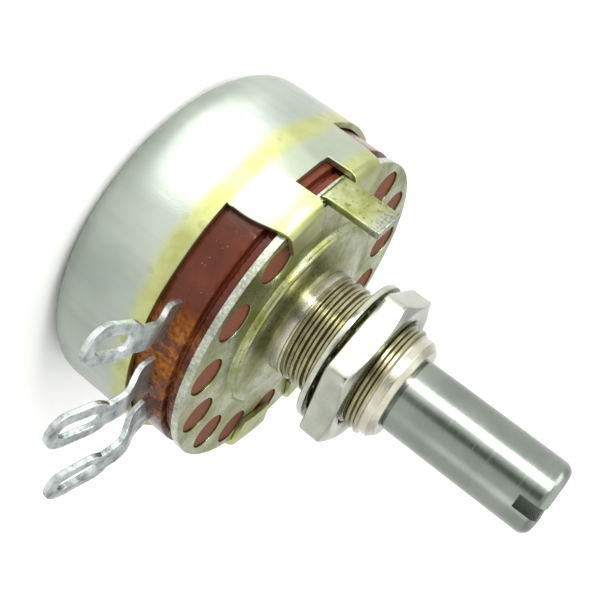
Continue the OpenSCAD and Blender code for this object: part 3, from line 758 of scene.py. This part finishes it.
def nutPatches():
    # rows of a hexagon cut by a cone at the front, then a bore whose radius rises and falls once
    # each pitch as the height and the turn go on together
    lowZ, topZ = nutLow[2], nutHigh[2]
    turns = np.linspace(0, 360, 360, endpoint=False) + nut["turn"]
    side = hexRadius(turns)
    cornerR = nut["flatR"] / math.cos(math.radians(30))
    slope = nut["chamfer"] / (cornerR - nut["coneR"])
    coneTop = topZ - (side - nut["coneR"]) * slope
    lowEdge = nut["lowEdge"]
    boreR = threadR + nut["clearance"]
    rowsR = [np.full_like(side, boreR), np.full_like(side, boreR + nut["sink"] * 0.6),
             side - lowEdge, side - 0.03, side]
    rowsZ = [np.full_like(side, lowZ + 0.3), np.full_like(side, lowZ), np.full_like(side, lowZ),
             np.full_like(side, lowZ + 0.03), np.full_like(side, lowZ + lowEdge)]
    for k in np.linspace(0, 1, 7):
        rowsR.append(side)
        rowsZ.append(lowZ + lowEdge + (coneTop - 0.02 - lowZ - lowEdge) * k)
    for k in np.linspace(0.02, 0.97, 6):
        rowsR.append(side + (nut["coneR"] - side) * k)
        rowsZ.append(coneTop + (topZ - coneTop) * k)
    rowsR += [np.full_like(side, nut["coneR"] - 0.06), np.full_like(side, boreR + nut["sink"] + 0.03),
              np.full_like(side, boreR + nut["sink"] - 0.02)]
    rowsZ += [np.full_like(side, topZ), np.full_like(side, topZ), np.full_like(side, topZ - 0.03)]
    heights = np.linspace(topZ - nut["sink"], lowZ + 0.35, 24)
    for h in heights:
        phase = (h / nut["pitch"] - turns / 360) % 1
        rowsR.append(boreR + 0.05 + nut["threadDepth"] * np.abs(phase * 2 - 1))
        rowsZ.append(np.full_like(side, h))
    return [(polar(np.array(rowsR), turns[None, :], np.array(rowsZ)), True, True)]


buildPiece("panelNut", "panel_nut", "nut_body",
           satinNickel("satinNickelBrass", "#9B9E92", "#B0B3A7"), nutPatches())

washer = {"sheet": 0.5, "rim": 0.65, "teeth": 14, "toothShare": 0.52, "twist": 35, "toothSheet": 0.4,
          "edge": 0.09, "toothEdge": 0.07}


def washerPatches():
    # a rounded flat section turned round the axis, and inner teeth: a rounded bar section that runs
    # inward and turns about its own length
    outer, middleZ = washerHigh[0], (washerLow[2] + washerHigh[2]) / 2
    root, half = outer - washer["rim"], washer["sheet"] / 2
    section = roundedProfile([[root, middleZ - half], [outer, middleZ - half], [outer, middleZ + half],
                              [root, middleZ + half]], washer["edge"], 4)
    patches = [(revolved(section, np.linspace(0, 360, 160, endpoint=False)), True, True)]
    width = 2 * math.pi * root / washer["teeth"] * washer["toothShare"]
    thick = washer["toothSheet"]
    profile = roundedProfile([[-width / 2, -thick / 2], [width / 2, -thick / 2], [width / 2, thick / 2],
                              [-width / 2, thick / 2]], washer["toothEdge"], 3)
    reach = np.array([threadR + 0.06, threadR + 0.12, threadR + 0.4, root - 0.1, root + 0.1])
    share = np.array([0.9, 1.0, 1.0, 1.0, 1.0])
    twist = np.radians(washer["twist"] * smooth((root + 0.1 - reach) / 0.5))
    cosine, sine, wide = np.cos(twist)[:, None], np.sin(twist)[:, None], share[:, None]
    y = (profile[None, :, 0] * cosine - profile[None, :, 1] * sine) * wide
    z = (profile[None, :, 0] * sine + profile[None, :, 1] * cosine) * wide
    x = np.broadcast_to(reach[:, None], y.shape)
    tooth = np.stack([x, y, z + middleZ], axis=-1)
    tooth = np.concatenate([gathered(tooth[0])[None], tooth, gathered(tooth[-1])[None]])
    for i in range(washer["teeth"]):
        patches.append((turned(tooth, i * 360 / washer["teeth"]), False, True))
    return patches


buildPiece("lockWasher", "lock_washer", "washer_body",
           satinNickel("nickelSpringSteel", "#9FA292", "#BDC0B2"), washerPatches())
print("nut and washer built")


terminal = {"turn": 270, "step": 20.5, "sheet": 0.45, "drop": 3.2, "rootWidth": 3.4, "neckWidth": 2.1,
            "eyeWidth": 3.1, "slotWidth": 1.3, "slotLength": 2.9, "reach": 8.3, "rise": 0.7,
            "falls": (0.7, 1.0, 1.3), "edge": 0.09, "inside": 1.4,
            "narrowShare": 0.24, "topShare": 0.3, "settleFrom": 0.8, "uneven": (4, 0.05)}


def terminalPatches(fall, seed):
    # plan: a ring between the eye's opening and its outline, and a strip from the base to that ring;
    # the sheet's height rises smoothly in front of the root and falls smoothly to the eye
    endR = canR + terminal["reach"]
    width, slot = terminal["eyeWidth"], terminal["slotWidth"]
    slotEnd = endR - width / 2
    slotStart = slotEnd - terminal["slotLength"] + slot
    angle = np.radians(np.linspace(0, 360, 72, endpoint=False))
    front = np.cos(angle) >= 0
    centre = np.where(front, slotEnd, slotStart)
    rings = []
    for k in np.linspace(0, 1, 7):
        r = slot / 2 + (width - slot) / 2 * k
        rings.append(np.stack([centre + r * np.cos(angle), r * np.sin(angle)], axis=-1))
    ring = np.array(rings)
    back = np.where((~front) & (np.abs(ring[-1, :, 1]) <= terminal["neckWidth"] / 2 + 0.02))[0]
    arc = ring[-1, back][::-1]
    rows = 26
    t = np.linspace(0, 1, rows)[:, None]
    rootX = canR - terminal["inside"]
    x = rootX + (arc[None, :, 0] - rootX) * t
    narrowing = 1 - smooth((x - canR) / (terminal["narrowShare"] * terminal["reach"]))
    flare = 1 + (terminal["rootWidth"] / terminal["neckWidth"] - 1) * narrowing
    settle = smooth((t - terminal["settleFrom"]) / 0.2)
    y = arc[None, :, 1] * (flare * (1 - settle) + settle)
    strip = np.stack([x, np.broadcast_to(y, x.shape)], axis=-1)
    zMiddle = plateFrontZ - terminal["drop"]

    def lifted(plan):
        start, top = canR + 0.2, canR + terminal["topShare"] * terminal["reach"]
        z = zMiddle + terminal["rise"] * smooth((plan[..., 0] - start) / (top - start))
        z = z - fall * smooth((plan[..., 0] - top) / (endR - top)) + terminal["sheet"] / 2
        return np.concatenate([plan, z[..., None]], axis=-1)

    out = []
    for plan, close in ((ring, True), (strip, False)):
        points = lifted(plan)
        share = smooth((points[..., 0] - canR) / 2)
        points[..., 2] += wobble(points, *terminal["uneven"], seed) * share
        out.append((points, False, close))
    return out


terminalMaterial = tinnedBrass()
for i, node in enumerate(("terminal_left", "terminal_middle", "terminal_right")):
    turn = terminal["turn"] + (i - 1) * terminal["step"]
    patches = [(turned(p, turn), closeRows, closeCols)
               for p, closeRows, closeCols in terminalPatches(terminal["falls"][i], 20 + i)]
    buildPiece("solderLug" + ("Left", "Middle", "Right")[i], node, "housing",
               terminalMaterial, patches, thickness=terminal["sheet"], bevel=terminal["edge"])
print("terminals built")


innerFinishes = {
    "resistance_track": ("carbonTrack", "#16150F", "#24221C", 0, 0.6),
    "collector_ring": ("silveredBrass", "#B5AF98", "#D0CBB6", 1, 0.35),
    "shaft_clip": ("springSteel", "#6E7270", "#8C908E", 1, 0.4),
    "thrust_washer": ("plainBrass", "#A88448", "#C09C5C", 1, 0.32),
    "rotor": ("phenolicLaminate", "#33251E", "#453328", 0, 0.5),
    "contact_spring": ("phosphorBronze", "#B07A42", "#C89258", 1, 0.33),
    "spring_rivets": ("rivetBrass", "#BFA65C", "#D2BC78", 1, 0.35),
    "track_brush": ("brushCarbon", "#1A1A19", "#2A2A28", 0, 0.55),
    "collector_brush": ("brushCarbonTwo", "#1A1A19", "#2A2A28", 0, 0.55),
}
for node, (name, low, high, metallic, roughness) in innerFinishes.items():
    inner = frame["nodes"][node]
    inner.data.materials.clear()
    inner.data.materials.append(plainFinish(name, low, high, metallic, roughness))
print("inner pieces finished")


studio = {"floorSize": 3.0, "worldStrength": 1.6}


def addFloor():
    half = studio["floorSize"] / 2
    mesh = bpy.data.meshes.new("floor")
    z = cadLow.z - 0.00002
    corners = [(-half, -half, z), (half, -half, z), (half, half, z), (-half, half, z)]
    mesh.from_pydata(corners, [], [(0, 1, 2, 3)])
    material, tree, shader, place = newMaterial("paintedBoard")
    tone = ramp(tree, noise(tree, place, 40, 2), [(0.0, "#F0F0EE"), (1.0, "#F8F8F6")])
    tree.links.new(tone, shader.inputs["Base Color"])
    shader.inputs["Roughness"].default_value = 0.7
    mesh.materials.append(material)
    floor = bpy.data.objects.new("floor", mesh)
    bpy.context.scene.collection.objects.link(floor)


camera = {
    "azimuth": -43.580, "elevation": 16.110, "roll": 126.940, "lens": 59.161,
    "aim": (-0.607, 0.578, 11.824), "distance": 74.844,
}


def cameraAxes():
    # right, up and back of the camera, from its azimuth and elevation and then its roll about the view
    a, e, roll = (math.radians(camera[k]) for k in ("azimuth", "elevation", "roll"))
    back = Vector((math.sin(a) * math.cos(e), -math.cos(a) * math.cos(e), math.sin(e)))
    levelRight = Vector((0, 0, 1)).cross(back).normalized()
    levelUp = back.cross(levelRight)
    right = levelRight * math.cos(roll) + levelUp * math.sin(roll)
    return right, back.cross(right), back


def addCamera():
    right, up, back = cameraAxes()
    data = bpy.data.cameras.new("camera")
    data.lens, data.sensor_width = camera["lens"], 36
    data.clip_start, data.clip_end = 0.002, 10
    eye = bpy.data.objects.new("camera", data)
    place = Vector(camera["aim"]) * mm + back * camera["distance"] * mm
    eye.matrix_world = Matrix((right, up, back)).transposed().to_4x4()
    eye.location = place
    bpy.context.scene.collection.objects.link(eye)
    bpy.context.scene.camera = eye


# soft boxes: direction, distance, middle height, width and height (mm) and radiance; the lying one
# is on the floor and faces up, for the highlight on the can's wall
softBoxes = [
    {"turn": 189, "distance": 118, "middle": 42, "size": (32, 88), "radiance": 17.0},
    {"turn": 292, "distance": 150, "middle": 60, "size": (60, 100), "radiance": 1.0},
    {"turn": 150, "distance": 190, "middle": 150, "size": (150, 120), "radiance": 2.5},
    {"turn": 193, "distance": 38, "middle": 1, "size": (20, 44), "radiance": 1.9, "lying": True},
]
# a dark card behind the camera, seen only in the metal
card = {"turn": 229, "distance": 105, "width": 42, "height": 60, "tone": "#2A2C28"}


def addSoftBoxes():
    for i, box in enumerate(softBoxes):
        width, height = (side * mm for side in box["size"])
        data = bpy.data.lights.new(f"softbox{i}", "AREA")
        data.shape, data.size, data.size_y = "RECTANGLE", width, height
        data.energy = box["radiance"] * math.pi * width * height
        lamp = bpy.data.objects.new(f"softbox{i}", data)
        lamp.location = Vector(polar(box["distance"], box["turn"], box["middle"])) * mm
        toObject = Vector((0, 0, 14 * mm)) - lamp.location
        lamp.rotation_euler = toObject.to_track_quat("-Z", "Y").to_euler()
        if box.get("lying"):
            # face up, with its height running away from the object
            lamp.rotation_euler = (math.pi, 0, math.radians(box["turn"] + 90))
        lamp.visible_camera = False
        bpy.context.scene.collection.objects.link(lamp)


def addCard():
    turn, half = card["turn"], math.degrees(math.atan(card["width"] / 2 / card["distance"]))
    corners = [(turn - half, 1), (turn + half, 1),
               (turn + half, card["height"]), (turn - half, card["height"])]
    mesh = bpy.data.meshes.new("card")
    mesh.from_pydata([Vector(polar(card["distance"], t, z)) * mm for t, z in corners], [], [(0, 1, 2, 3)])
    material, tree, shader, place = newMaterial("darkCard")
    shader.inputs["Base Color"].default_value = hexColour(card["tone"])
    shader.inputs["Roughness"].default_value = 0.9
    mesh.materials.append(material)
    piece = bpy.data.objects.new("card", mesh)
    piece.visible_camera = piece.visible_shadow = piece.visible_diffuse = False
    bpy.context.scene.collection.objects.link(piece)


def addWorld():
    # bright low down all round, darker half way up, bright overhead
    world = bpy.data.worlds.new("studio")
    world.use_nodes = True
    tree = world.node_tree
    ground = next(n for n in tree.nodes if n.type == "BACKGROUND")
    way = addNode(tree, "TexCoord").outputs["Generated"]
    height = addNode(tree, "SeparateXYZ", links={"Vector": way}).outputs[2]
    tone = ramp(tree, height, [(0.0, 0.68), (0.2, 0.68), (0.42, 0.46), (0.62, 0.52), (0.85, 1.0)])
    tree.links.new(tone, ground.inputs["Color"])
    ground.inputs["Strength"].default_value = studio["worldStrength"]
    bpy.context.scene.world = world
    bpy.context.scene.view_settings.view_transform = "Standard"


addFloor()
addCamera()
addSoftBoxes()
addCard()
addWorld()
print("studio set")
